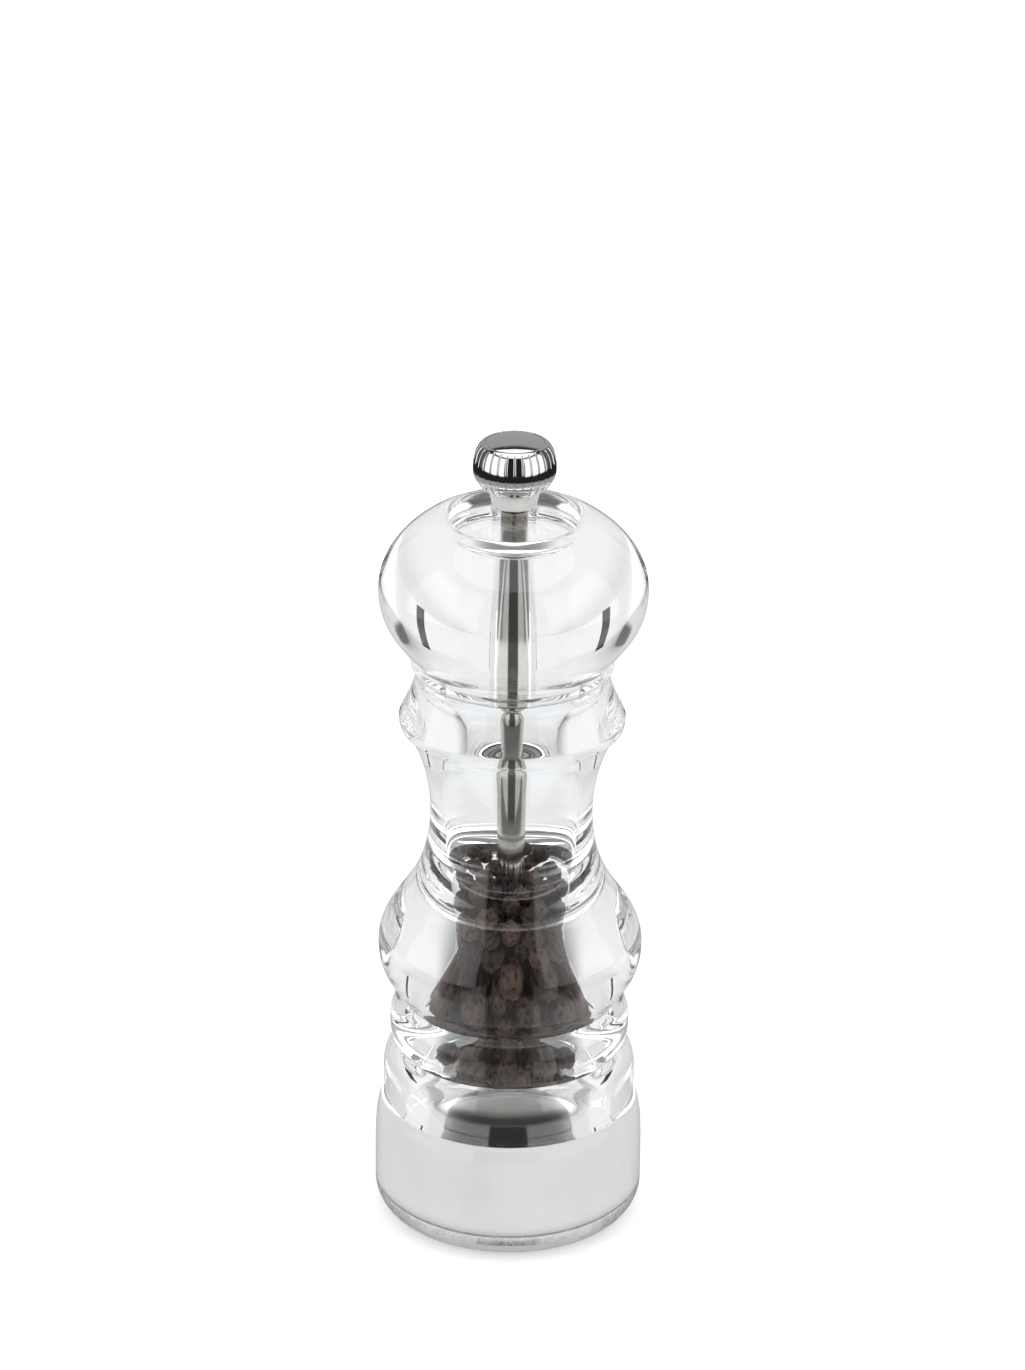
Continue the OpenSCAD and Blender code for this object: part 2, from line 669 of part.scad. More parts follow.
// smooth domed disc pressed into the knob
module knob_cap() {
    dome_r = (cap_r * cap_r + cap_dome_h * cap_dome_h) / (2 * cap_dome_h);
    color([0.86, 0.86, 0.87])
        intersection() {
            translate([0, 0, cap_z]) cylinder(r = cap_r, h = cap_edge_t + cap_dome_h + over);
            translate([0, 0, knob_top_z - dome_r]) sphere(r = dome_r, $fn = 200);
        }
}

// radius of the pepper chamber at a height between its foot and the mouth's cone
function chamber_r(z) =
    bore_r + (bore_foot_r - bore_r) * (mouth_cone_z - z) / (mouth_cone_z - bore_foot_z);

module corn_ring(count, ring_r, z, turn) {
    for (i = [0:count - 1]) rotate((i + turn) * 360 / count) translate([ring_r, 0, z])
        sphere(r = corn_r);
}

// peppercorns: staggered rings along the wall, and inner rings near the top of the heap
module peppercorns() {
    low_z = funnel_z + corn_r + corn_gap;
    off_wall = corn_r + corn_gap;
    color([0.16, 0.11, 0.08]) {
        corn_ring(funnel_corns, seat_r - off_wall, low_z, 0);
        for (k = [1:corn_levels]) {
            z = low_z + k * corn_pitch;
            wall_r = chamber_r(z) - off_wall;
            corn_ring(corns_round, wall_r, z, k / 2);
            if (k > corn_levels - inner_levels)
                corn_ring(inner_corns, wall_r - 2 * corn_r - corn_gap, z, k / 2);
        }
    }
}

body();
housing();
circlip();
stator();
stator_screws();
bearing_bridge();
bridge_screws();
drive_bush();
thrust_washer();
spring();
shaft();
rotor();
rotor_washer();
lock_nut();
head();
collar();
knob();
knob_insert();
knob_cap();
peppercorns();
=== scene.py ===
import math

import bmesh
import bpy
import numpy as np
from mathutils import Matrix


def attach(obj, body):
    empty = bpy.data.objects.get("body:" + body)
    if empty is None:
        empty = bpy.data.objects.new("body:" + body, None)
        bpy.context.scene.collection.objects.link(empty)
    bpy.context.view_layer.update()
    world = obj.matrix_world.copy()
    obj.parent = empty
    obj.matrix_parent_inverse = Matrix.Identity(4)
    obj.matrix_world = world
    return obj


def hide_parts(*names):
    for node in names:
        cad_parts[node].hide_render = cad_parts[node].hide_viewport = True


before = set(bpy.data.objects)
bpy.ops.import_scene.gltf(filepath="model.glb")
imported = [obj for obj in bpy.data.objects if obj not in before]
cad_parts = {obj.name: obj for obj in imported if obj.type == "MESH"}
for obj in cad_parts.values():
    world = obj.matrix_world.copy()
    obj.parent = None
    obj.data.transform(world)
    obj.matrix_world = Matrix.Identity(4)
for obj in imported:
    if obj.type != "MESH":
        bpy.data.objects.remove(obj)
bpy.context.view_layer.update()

# Camera.  A long lens a little over a metre away, looking down on the mill by 24 degrees and turned a
# hair about its own axis.
FRAME_W, FRAME_H = 1025, 1370
camera_back = 1.08497
camera_up = 0.60457
camera_pitch = 0.417
camera_roll = 0.010
lens_px = 5598.8
axis_px = 512.6

camera_data = bpy.data.cameras.new("camera")
camera_data.sensor_fit = "VERTICAL"
camera_data.sensor_height = 36
camera_data.lens = lens_px / FRAME_H * camera_data.sensor_height
camera_data.shift_x = (FRAME_W / 2 - axis_px) / FRAME_H
camera = bpy.data.objects.new("camera", camera_data)
bpy.context.collection.objects.link(camera)
camera.matrix_world = (Matrix.Translation((0, -camera_back, camera_up))
                       @ Matrix.Rotation(math.pi / 2 - camera_pitch, 4, "X")
                       @ Matrix.Rotation(camera_roll, 4, "Z"))
bpy.context.scene.camera = camera


# Studio.  A white room, evenly bright to the eye and to matt surfaces.  Polished metal and clear acrylic
# also see what a real room has: a dark end behind the camera, a tall light box on each side of it, duller
# walls further round, and a lamp overhead with a dark ceiling about it.
def linear(code):
    """The linear colour of an sRGB hex code: c / 12.92 below 0.04045, ((c + 0.055) / 1.055) ** 2.4 above."""
    parts = np.array([int(code[i:i + 2], 16) / 255 for i in (1, 3, 5)])
    return (*np.where(parts <= 0.04045, parts / 12.92, ((parts + 0.055) / 1.055) ** 2.4), 1.0)


def node(tree, kind, *inputs, out=0, **named):
    """Adds a node to a tree and returns one of its outputs, if it has any.

    inputs fill its sockets in order, and None leaves one alone.  A named value sets the socket of that
    name where it starts with a capital, and the node's own setting where it doesn't."""
    made = tree.nodes.new("ShaderNode" + kind)
    pairs = list(zip(made.inputs, inputs))
    for name, value in named.items():
        if name[0].isupper():
            pairs.append((made.inputs[name], value))
        else:
            setattr(made, name, value)
    for socket, value in pairs:
        if isinstance(value, bpy.types.NodeSocket):
            tree.links.new(value, socket)
        elif value is not None:
            socket.default_value = value
    return made.outputs[out] if made.outputs else None


smooth = {"interpolation_type": "SMOOTHSTEP"}
white = (1, 1, 1, 1)
box_near, box_far, rear_start = math.radians(29), math.radians(98), math.radians(138)
blur = math.radians(4)
lamp_height = 0.79
ceiling_low, ceiling_high, lamp_blur = lamp_height - 0.16, lamp_height - 0.04, 0.02
# how bright each part of the room is as a mirror shows it, and as the acrylic shows it
levels = {"dark end": (0.02, 0.10), "box": (1.5, 1.3), "side": (0.12, 0.80), "rear": (0.42, 0.93),
          "ceiling": (0.03, 0.5), "lamp": (1.5, 0.9)}
# below its horizon a mirror shows a dark floor, grey close to the mill
mirror_horizon, mirror_near_floor = (-0.22, -0.18), (-0.42, -0.39)
floor_grey, floor_black = 0.4, 0.02
# below its horizon the acrylic shows a dim floor in front, lit by the boxes
clear_horizon = (-0.1, 0.0)
floor_dark_end, floor_box, floor_side = 0.08, 0.8, 0.2
floor_box_start, floor_box_end = math.radians(60), math.radians(80)
middle, middle_blur = math.pi / 2, 0.1

world = bpy.data.worlds.new("room")
bpy.context.scene.world = world
world.use_nodes = True
tree = world.node_tree
tree.nodes.clear()
path = node(tree, "LightPath").node.outputs
clear = path["Is Transmission Ray"]
x_way, y_way, height = node(tree, "SeparateXYZ", node(tree, "TexCoord")).node.outputs
to_camera = node(tree, "Math", y_way, -1, operation="MULTIPLY")
bearing = node(tree, "Math", node(tree, "Math", x_way, to_camera, operation="ARCTAN2"), operation="ABSOLUTE")

dark_end, box, side, rear, ceiling, lamp = (node(tree, "Mix", clear, None, *levels[part]) for part in levels)
past_near = node(tree, "MapRange", bearing, box_near - blur / 2, box_near + blur / 2, **smooth)
past_far = node(tree, "MapRange", bearing, box_far - blur, box_far + blur, **smooth)
past_rear = node(tree, "MapRange", bearing, rear_start - 2 * blur, rear_start + 2 * blur, **smooth)
walls = node(tree, "Mix", past_near, None, dark_end, box)
walls = node(tree, "Mix", past_far, None, walls, side)
walls = node(tree, "Mix", past_rear, None, walls, rear)

mirrored_floor = node(tree, "MapRange", height, *mirror_near_floor, floor_grey, floor_black, **smooth)
raised = node(tree, "MapRange", height, *mirror_horizon, **smooth)
mirrored_room = node(tree, "Mix", raised, None, mirrored_floor, walls)
clear_floor = node(tree, "MapRange", bearing, floor_box_start, floor_box_end, floor_box, floor_side, **smooth)
clear_floor = node(tree, "Mix", past_near, None, floor_dark_end, clear_floor)
past_middle = node(tree, "MapRange", bearing, middle - middle_blur, middle + middle_blur, **smooth)
clear_floor = node(tree, "Mix", past_middle, None, clear_floor, walls)
raised = node(tree, "MapRange", height, *clear_horizon, **smooth)
clear_room = node(tree, "Mix", raised, None, clear_floor, walls)

room = node(tree, "Mix", clear, None, mirrored_room, clear_room)
raised = node(tree, "MapRange", height, ceiling_low, ceiling_high, **smooth)
room = node(tree, "Mix", raised, None, room, ceiling)
raised = node(tree, "MapRange", height, lamp_height, lamp_height + lamp_blur, **smooth)
room = node(tree, "Mix", raised, None, room, lamp)
# the camera and matt surfaces see an even white
even = node(tree, "Math", path["Is Camera Ray"], path["Diffuse Depth"], operation="MAXIMUM")
node(tree, "OutputWorld", node(tree, "Background", white, node(tree, "Mix", even, None, room, 1.0)))

# Table.  A sweep of white paper.  It glows a little, so that it stays white around the mill's shadow, and
# clear acrylic sees it dimmer towards its sides and dark in front, which draws the acrylic's edges.
table_half = 0.47
table_front, table_back = -0.16, 1.2
paper_colour = "#F4F4F4"
paper_glow = 0.22
clear_middle, clear_sides, clear_front = 0.86, 0.7, 0.2
sides_start, sides_end = 0.12, 0.3
front_end, front_start = -0.05, 0.03
near_end, far_start = 0.35, 0.41
# a painted pool of light: to rays through the acrylic the paper glows in a ring around the foot, outside the
# mouth of the drum, in place of the light that the clear foot gathers from the paper around it
painted_foot_glow, mouth_in, mouth_out, light_in, light_out = 2.2, 0.021, 0.0225, 0.05, 0.06

table_mesh = bpy.data.meshes.new("table")
table_mesh.from_pydata([(-table_half, table_front, 0), (table_half, table_front, 0),
                        (table_half, table_back, 0), (-table_half, table_back, 0)], [], [(0, 1, 2, 3)])
table = bpy.data.objects.new("table", table_mesh)
bpy.context.collection.objects.link(table)
paper = bpy.data.materials.new("white paper sweep")
paper.use_nodes = True
tree = paper.node_tree
tree.nodes.clear()
path = node(tree, "LightPath").node.outputs
through, scattered = path["Is Transmission Ray"], path["Diffuse Depth"]
clear = node(tree, "Math", through, scattered, operation="SUBTRACT", use_clamp=True)
# a ray through clear acrylic counts as a glossy one too
mirrored = node(tree, "Math", path["Is Glossy Ray"], through, operation="SUBTRACT")
mirrored = node(tree, "Math", mirrored, scattered, operation="SUBTRACT", use_clamp=True)
place = node(tree, "NewGeometry")
x_place, y_place = node(tree, "SeparateXYZ", place).node.outputs[:2]
away = node(tree, "VectorMath", place, operation="LENGTH", out="Value")

aside = node(tree, "Math", x_place, operation="ABSOLUTE")
aside = node(tree, "MapRange", aside, sides_start, sides_end, **smooth)
clear_paper = node(tree, "Mix", aside, None, clear_middle, clear_sides)
behind = node(tree, "MapRange", y_place, front_end, front_start, **smooth)
clear_paper = node(tree, "Mix", behind, None, clear_front, clear_paper)
far_off = node(tree, "MapRange", away, near_end, far_start, **smooth)
mirrored_paper = node(tree, "Mix", far_off, None, floor_grey, floor_black)
level = node(tree, "Mix", clear, None, linear(paper_colour)[0], clear_paper)
level = node(tree, "Mix", mirrored, None, level, mirrored_paper)
# the painted pool of light: a glow on the paper, seen only through the acrylic, in a ring from the drum's
# mouth out to 5 to 6 cm
outside_mouth = node(tree, "MapRange", away, mouth_in, mouth_out, **smooth)
painted_foot_pool = node(tree, "MapRange", away, light_in, light_out, painted_foot_glow, 0.0, **smooth)
painted_foot_pool = node(tree, "Math", outside_mouth, painted_foot_pool, operation="MULTIPLY")
glow = node(tree, "Mix", clear, None, node(tree, "Mix", mirrored, None, paper_glow, 0.0), painted_foot_pool)
surface = node(tree, "AddShader", node(tree, "BsdfDiffuse", level), node(tree, "Emission", white, glow))
node(tree, "OutputMaterial", surface)
table_mesh.materials.append(paper)

# Boards.  Two narrow strips of black card stand behind the mill, out of the camera's sight, and show as
# thin dark bars in the acrylic.
board_away, board_half = 0.9, 0.035
board_turn = math.radians(33)
board_low, board_high = 0.0, 0.4
black_card = bpy.data.materials.new("black card")
black_card.use_nodes = True
black_card.node_tree.nodes["Principled BSDF"].inputs["Base Color"].default_value = linear("#181818")
black_card.node_tree.nodes["Principled BSDF"].inputs["Roughness"].default_value = 1.0
for hand in (-1, 1):
    x, y = hand * board_away * math.sin(board_turn), board_away * math.cos(board_turn)
    dx, dy = board_half * math.cos(board_turn), -hand * board_half * math.sin(board_turn)
    board_mesh = bpy.data.meshes.new("board")
    board_mesh.from_pydata([(x - dx, y - dy, board_low), (x + dx, y + dy, board_low),
                            (x + dx, y + dy, board_high), (x - dx, y - dy, board_high)], [], [(0, 1, 2, 3)])
    board = bpy.data.objects.new("board", board_mesh)
    bpy.context.collection.objects.link(board)
    board_mesh.materials.append(black_card)
    board.visible_camera = False
    board.visible_diffuse = False
    board.visible_shadow = False


# Body.  Cast acrylic, turned on a lathe and polished: foot, drum, two rings, belly, waist, bead and neck.
# The pepper chamber widens downwards to a funnel and a throat.  A wide cavity in the drum takes the
# grinding set.  Its bored wall is left frosted and given a faint painted glow, so that the drum looks
# milky.
MM = 0.001


def curve(a, b, c, d, n=16):
    """Points of a cubic curve from a to d with handles b and c, its first point left out.

    At t from 0 to 1, a counts (1 - t) cubed, b 3 t (1 - t) squared, c 3 t squared (1 - t), d t cubed."""
    t = np.linspace(0, 1, n + 1)[1:, None]
    a, b, c, d = (np.array(p, float) for p in (a, b, c, d))
    return list((1 - t) ** 3 * a + 3 * (1 - t) ** 2 * t * b + 3 * (1 - t) * t * t * c + t ** 3 * d)


def ring(a, b, r, n=14):
    """A turned ring from the groove at a, out to radius r halfway up, and back to the groove at b.

    Each half is a cubic curve that leaves its groove nearly level and meets the other half upright."""
    rise, mid = b[1] - a[1], (a[1] + b[1]) / 2
    return (curve(a, (r - 0.3 * (r - a[0]), a[1] + 0.1 * rise), (r, mid - 0.25 * rise), (r, mid), n)
            + curve((r, mid), (r, mid + 0.25 * rise), (r - 0.3 * (r - b[0]), b[1] - 0.1 * rise), b, n))


def solid(name, points, faces, materials, numbers=None, edge_deg=32):
    """An object from points and arrays of faces of equal length, shaded smooth up to an edge of edge_deg."""
    sizes = np.concatenate([np.full(len(part), part.shape[1]) for part in faces])
    mesh = bpy.data.meshes.new(name)
    mesh.vertices.add(len(points))
    mesh.vertices.foreach_set("co", np.asarray(points, np.float32).ravel())
    mesh.loops.add(int(sizes.sum()))
    mesh.loops.foreach_set("vertex_index", np.concatenate([part.ravel() for part in faces]).astype(np.int32))
    mesh.polygons.add(len(sizes))
    mesh.polygons.foreach_set("loop_start", (np.cumsum(sizes) - sizes).astype(np.int32))
    if numbers is not None:
        mesh.polygons.foreach_set("material_index", numbers.astype(np.int32))
    mesh.update(calc_edges=True)
    mesh.validate()
    mesh.shade_smooth()
    mesh.set_sharp_from_angle(angle=math.radians(edge_deg))
    for material in materials:
        mesh.materials.append(material)
    made = bpy.data.objects.new(name, mesh)
    bpy.context.collection.objects.link(made)
    return made


def turned(name, outline, materials, sides=256, finish=None):
    """A closed outline of (radius, height) in mm turned about Z: x = r cos a, y = r sin a, z = height.

    A point on the axis becomes one vertex, and its faces are triangles.  finish gives the number of the
    material on each step of the outline."""
    outline = np.array(outline, float)
    radius, height = outline[:, 0], outline[:, 1]
    angle = np.arange(sides) * 2 * math.pi / sides
    pole = radius < 1e-6
    first = np.concatenate([[0], np.cumsum(np.where(pole, 1, sides))[:-1]])
    index = first[:, None] + np.where(pole[:, None], 0, np.arange(sides))
    grid = np.stack([radius[:, None] * np.cos(angle), radius[:, None] * np.sin(angle),
                     height[:, None] + 0 * angle], -1)
    used = ~pole[:, None] | (np.arange(sides) == 0)
    beside, above = np.roll(index, -1, 1), np.roll(index, -1, 0)
    quads = np.stack([index, beside, np.roll(beside, -1, 0), above], -1).reshape(-1, 4)
    step = np.repeat(np.arange(len(outline)), sides)
    low, high = quads[:, 0] == quads[:, 1], quads[:, 2] == quads[:, 3]
    faces = [quads[~low & ~high], quads[low & ~high][:, [0, 2, 3]], quads[~low & high][:, [0, 1, 2]]]
    steps = np.concatenate([step[~low & ~high], step[low & ~high], step[~low & high]])
    return solid(name, grid[used] * MM, faces, materials, None if finish is None else np.array(finish)[steps])


def finish_of(name, **inputs):
    """A material with its Principled shader's inputs set; returns it, its tree and the shader."""
    made = bpy.data.materials.new(name)
    made.use_nodes = True
    shader = made.node_tree.nodes["Principled BSDF"]
    for key, value in inputs.items():
        shader.inputs[key.replace("_", " ")].default_value = value
    return made, made.node_tree, shader


def grain_of(tree, size_mm, detail=3.0, stretch=(1, 1, 1)):
    """Noise whose grain measures size_mm, divided by stretch along each axis."""
    spot = node(tree, "VectorMath", node(tree, "TexCoord", out="Object"), stretch, operation="MULTIPLY")
    return node(tree, "TexNoise", spot, None, 1 / (size_mm * MM), detail)


def vary(tree, shader, name, grain, low, high):
    """Runs one of the shader's inputs, a value or a colour, from low to high with the grain.

    Nearly all of the grain lies between 0.3 and 0.7."""
    part = node(tree, "MapRange", grain, 0.3, 0.7)
    if isinstance(low, tuple):
        mixed = node(tree, "Mix", part, *[None] * 5, low, high, data_type="RGBA", out=2)
    else:
        mixed = node(tree, "Mix", part, None, low, high)
    tree.links.new(mixed, shader.inputs[name])


# Polished cast acrylic is as clear as glass.  The polishing leaves faint waves some 14 mm long, which
# make its highlights wander.
acrylic, tree, shader = finish_of("cast acrylic, polished", Base_Color=linear("#FDFEFF"), Roughness=0.0,
                                  Transmission_Weight=1.0, IOR=1.49)
waves = grain_of(tree, 14, 1.0, (1, 1, 1.6))
tree.links.new(node(tree, "Bump", Distance=0.05 * MM, Height=waves), shader.inputs["Normal"])

# The bored wall of the cavity keeps the lathe's fine tool marks: milky white, in soft upright clouds.  The
# marks are drawn coarser than they are, so that they show.  It also has a painted glow: it glows faintly,
# though it is no lamp, in place of the light in the drum.
frosted, tree, shader = finish_of("frosted wall of the cavity, painted glow", Roughness=0.55, Emission_Color=white,
                                  Emission_Strength=0.1)
vary(tree, shader, "Base Color", grain_of(tree, 9, 2.0, (1, 1, 0.25)), linear("#F1F1F0"), linear("#FCFCFB"))
tool_marks = grain_of(tree, 0.6, 1.0, (0.3, 0.3, 2))
tree.links.new(node(tree, "Bump", Distance=0.01 * MM, Height=tool_marks), shader.inputs["Normal"])

drum_r, drum_h, foot_round, shoulder_h = 29.1, 27.0, 6.8, 13.0
low_ring_r, up_ring_r = 27.35, 25.9
drum_groove, mid_groove, belly_groove = np.array([(26.6, drum_h), (24.4, 40.1), (23.1, 51.2)])
belly, waist, bead_foot, bead, top_edge = np.array([(28.45, 64.0), (17.4, 95.4), (22.6, 114.4), (24.1, 117.4),
                                                    (21.7, 129.4)])
register_r, register_z = 16.0, 125.4
chamber_top_r, mouth_z = 13.75, 118.4
chamber_foot_r, chamber_foot_z = 17.9, 40.0
throat_r, throat_z = 13.75, 37.0
cavity_r, cavity_z = 22.0, 25.5

angles = np.radians(np.arange(-90, 1, 6))
shoulder = (drum_r, drum_h - shoulder_h)
outline = [(drum_r - foot_round * (1 - math.cos(a)), foot_round * (1 + math.sin(a))) for a in angles]
outline += [shoulder]
outline += curve(shoulder, (drum_r, drum_h - 0.3 * shoulder_h),
                 (drum_groove[0] + 0.8 * (drum_r - drum_groove[0]), drum_h), drum_groove, 24)
outline += ring(drum_groove, mid_groove, low_ring_r)
outline += ring(mid_groove, belly_groove, up_ring_r)
outline += curve(belly_groove, belly_groove + (2.2, 4.0), belly - (0, 6.8), belly, 24)
outline += curve(belly, belly + (0, 10), waist - (0, 19.5), waist, 44)
outline += curve(waist, waist + (0, 7), bead_foot - (2.85, 4), bead_foot, 24)
outline += curve(bead_foot, bead_foot + (0.9, 0.45), bead - (0, 2.4), bead, 12)
outline += curve(bead, bead + (0, 0.6), top_edge - (3.3, 2.3), top_edge, 24)
outline += [(register_r, top_edge[1]), (register_r, register_z), (chamber_top_r, mouth_z),
            (chamber_foot_r, chamber_foot_z), (throat_r, throat_z), (throat_r, cavity_z),
            (cavity_r, cavity_z), (cavity_r, 0)]
body = turned("body_shell", outline, [acrylic, frosted], finish=[0] * (len(outline) - 2) + [1, 0])
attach(body, "mill_body")
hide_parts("body")

# Head.  The same acrylic, solid: a flattened ball with a dish and a boss on top.  It is bored for the
# shaft, with a hole with two flats through the boss for the shaft's tang, and a low spigot under it turns
# in the neck of the body.
head_z, lip_z, dish_z = 129.6, 162.95, 154.2
head_foot, head_edge, head_wide = np.array([(20.4, head_z), (21.2, head_z + 1.3), (28.5, head_z + 16.6)])
head_lip, dish_rim = np.array([(16.3, lip_z - 0.25), (13.8, lip_z - 0.65)])
boss_r, boss_z = 4.7, 165.4
bore_r, bore_top = 3.3, 151.9
hole_r, hole_half = 3.05, 2.45
spigot_r, spigot_z = 15.9, 126.6

outline = [(bore_r, spigot_z), (spigot_r, spigot_z), (spigot_r, head_z), head_foot]
outline += curve(head_foot, head_foot + (0.5, 0.2), head_edge - (0.1, 0.4), head_edge, 6)
outline += curve(head_edge, head_edge + (2.4, 3.9), head_wide - (0, 8.1), head_wide, 36)
outline += curve(head_wide, head_wide + (0, 8.4), head_lip + (4.5, -2.1), head_lip, 40)
outline += curve(head_lip, head_lip + (-0.5, 0.22), dish_rim + (0.9, 0.75), dish_rim, 10)
outline += curve(dish_rim, (dish_rim[0] - 0.8, dish_z + 0.3), (dish_rim[0] - 2.5, dish_z),
                 (boss_r + 0.3, dish_z), 24)
outline += [(boss_r, dish_z + 0.3), (boss_r, boss_z)]
outline += [(hole_r, boss_z), (hole_r, bore_top), (bore_r, bore_top)]
head = turned("head_ball", outline, [acrylic])


def points_of(made):
    """The points of an object's mesh in mm, one row each."""
    points = np.empty(len(made.data.vertices) * 3)
    made.data.vertices.foreach_get("co", points)
    return points.reshape(-1, 3) / MM


def move_points(made, points):
    """Puts points in mm back into an object's mesh."""
    made.data.vertices.foreach_set("co", (points * MM).ravel())
    made.data.update()


def cut_flats(made, radius, half, low, high):
    """Draws the points of a round wall towards the axis, onto the two planes x = half and x = -half."""
    points = points_of(made)
    wall = np.abs(np.hypot(points[:, 0], points[:, 1]) - radius) < 0.01
    wall &= (points[:, 2] > low) & (points[:, 2] < high)
    points[wall, :2] *= np.minimum(1, half / np.maximum(np.abs(points[wall, :1]), 1e-6))
    move_points(made, points)


cut_flats(head, hole_r, hole_half, bore_top - 0.1, boss_z + 0.1)
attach(head, "turning_head")
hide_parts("head")

# Collar.  A bush of natural nylon, turned to a taper, that stands on the boss.  The knob presses on it,
# and its drag keeps the setting of the grind.
# Nylon is a milky off-white that light enters a little way, with fine rings from turning, drawn coarser
# than they are, so that they show.
nylon, tree, shader = finish_of("natural nylon", Roughness=0.38, IOR=1.53, Subsurface_Weight=0.3,
                                Subsurface_Scale=0.002)
vary(tree, shader, "Base Color", grain_of(tree, 2.5), linear("#DCDCD9"), linear("#EAEAE7"))
turning = grain_of(tree, 0.8, 2.0, (0.2, 0.2, 6))
tree.links.new(node(tree, "Bump", Distance=0.02 * MM, Height=turning), shader.inputs["Normal"])

collar_bore, collar_foot, collar_top, collar_end = 2.1, 4.75, 5.36, 168.6
chamfer = 0.1
outline = [(collar_bore, boss_z), (collar_foot - chamfer, boss_z), (collar_foot, boss_z + chamfer),
           (collar_top - 0.04, collar_end - 0.2), (collar_top, collar_end - chamfer),
           (collar_top - chamfer, collar_end), (collar_bore, collar_end)]
collar = turned("collar_taper", outline, [nylon], sides=128)
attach(collar, "turning_head")
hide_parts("collar")

# Knob.  A zinc casting, polished and chromed: a barrel with upright ribs, parted by narrow grooves, on a
# smooth flare.
# Chrome is a cool bright mirror, with patches a few mm wide where the polish is a little softer and
# slight ripples that bend what it mirrors.
chrome, tree, shader = finish_of("bright chrome plate", Base_Color=linear("#DADADB"), Metallic=1.0)
vary(tree, shader, "Roughness", grain_of(tree, 3), 0.03, 0.08)
ripple = grain_of(tree, 1.5, 1.0)
tree.links.new(node(tree, "Bump", Distance=0.01 * MM, Height=ripple), shader.inputs["Normal"])

knob_z, knob_r, insert_r = 168.7, 8.75, 3.63
cap_r, cap_z, cap_edge = 6.2, 178.3, 179.2
knob_foot, knob_flare, knob_wide, knob_edge = np.array([(5.5, knob_z), (7.6, knob_z + 1.6),
                                                        (knob_r, knob_z + 4.7), (6.8, cap_edge - 0.1)])
ribs, rib_depth, groove_half = 30, 0.35, 0.12
groove_low, groove_high, groove_run_in, groove_run_out = 168.8, 179.0, 0.5, 0.7
outline = [(insert_r, knob_z), knob_foot]
outline += curve(knob_foot, knob_foot + (0.9, 0.1), knob_flare - (0.5, 0.8), knob_flare, 10)
outline += curve(knob_flare, knob_flare + (0.65, 1.0), knob_wide - (0, 1.3), knob_wide, 12)
outline += curve(knob_wide, knob_wide + (0, 3.0), knob_edge + (1.1, -0.6), knob_edge, 18)
outline += [(cap_r + 0.05, cap_edge), (cap_r + 0.03, cap_z), (insert_r, cap_z)]
knob = turned("knob_barrel", outline, [chrome], sides=720)

# a groove draws the barrel's outside towards the axis, deepest along its middle, and fades out at both ends
points = points_of(knob)
radius = np.hypot(points[:, 0], points[:, 1])
around = np.arctan2(points[:, 1], points[:, 0])
outside = radius > (insert_r + knob_foot[0]) / 2
fade = (np.clip((points[:, 2] - groove_low) / groove_run_in, 0, 1)
        * np.clip((groove_high - points[:, 2]) / groove_run_out, 0, 1) * outside)
from_groove = np.abs((around * ribs / (2 * math.pi)) % 1 - 0.5)
sink = rib_depth * fade * np.clip(1 - from_groove / groove_half, 0, 1)
points[:, :2] *= (1 - sink / np.maximum(radius, 1))[:, None]
move_points(knob, points)
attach(knob, "adjusting_knob")
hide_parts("knob")

# Knob's disc.  A pressed and chromed disc, slightly domed, pushed into the top of the barrel over the
# brass insert that holds the thread.
dome_z = 180.2
disc_edge = np.array((cap_r, cap_edge - 0.1))
outline = [(0, cap_z), (cap_r, cap_z), disc_edge]
outline += curve(disc_edge, disc_edge + (-0.1, 0.2), (cap_r - 2.5, dome_z), (0, dome_z), 24)
disc = turned("knob_disc", outline, [chrome], sides=192)
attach(disc, "adjusting_knob")
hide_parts("knob_cap")

# Shaft.  A ground steel rod: thread and flats at the foot, a turned neck with a bulge and a grooved ring,
# a tang with two flats through the boss, and the thread for the knob.
# Ground and polished steel is warm grey, and reflects in soft-edged bands along the rod.
steel, tree, shader = finish_of("ground steel rod", Metallic=1.0)
vary(tree, shader, "Base Color", grain_of(tree, 5, 2.0), linear("#BDB9B1"), linear("#CDCAC3"))
vary(tree, shader, "Roughness", grain_of(tree, 4, 2.0), 0.09, 0.13)

rod_r, nut_thread_r, knob_thread_r = 3.0, 2.3, 2.0
rod_low, flats_z, rod_high = 8.5, 14.0, 176.5
neck_top = 120.9
ring_top, groove_r, groove_h, ring_chamfer = neck_top + 2.9, 2.75, 0.4, 0.2
tang_r, tang_z, tang_top, tang_half = 3.001, 151.0, 164.5, 2.4
neck_foot, narrow, bulge, under_ring = np.array([(rod_r, neck_top - 10), (1.95, neck_top - 4.7),
                                                 (2.6, neck_top - 1.9), (2.25, neck_top - 0.1)])
outline = [(0, rod_low), (nut_thread_r, rod_low), (nut_thread_r, flats_z), (rod_r, flats_z), neck_foot]
outline += curve(neck_foot, neck_foot + (0, 1.8), narrow - (0, 1.1), narrow, 16)
outline += curve(narrow, narrow + (0, 1.0), bulge - (0, 1.1), bulge, 10)
outline += curve(bulge, bulge + (0, 0.7), under_ring - (0, 0.4), under_ring, 8)
outline += [(rod_r - ring_chamfer, neck_top), (rod_r, neck_top + 0.3), (rod_r, ring_top),
            (groove_r, ring_top + ring_chamfer), (groove_r, ring_top + ring_chamfer + groove_h),
            (rod_r, ring_top + 2 * ring_chamfer + groove_h), (rod_r, tang_z), (tang_r, tang_z + 0.001),
            (tang_r, tang_top), (knob_thread_r, tang_top), (knob_thread_r, rod_high), (0, rod_high)]
shaft = turned("shaft_rod", outline, [steel], sides=128)
cut_flats(shaft, tang_r, tang_half, tang_z, tang_top + 0.1)
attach(shaft, "grinding_shaft")
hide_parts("shaft")
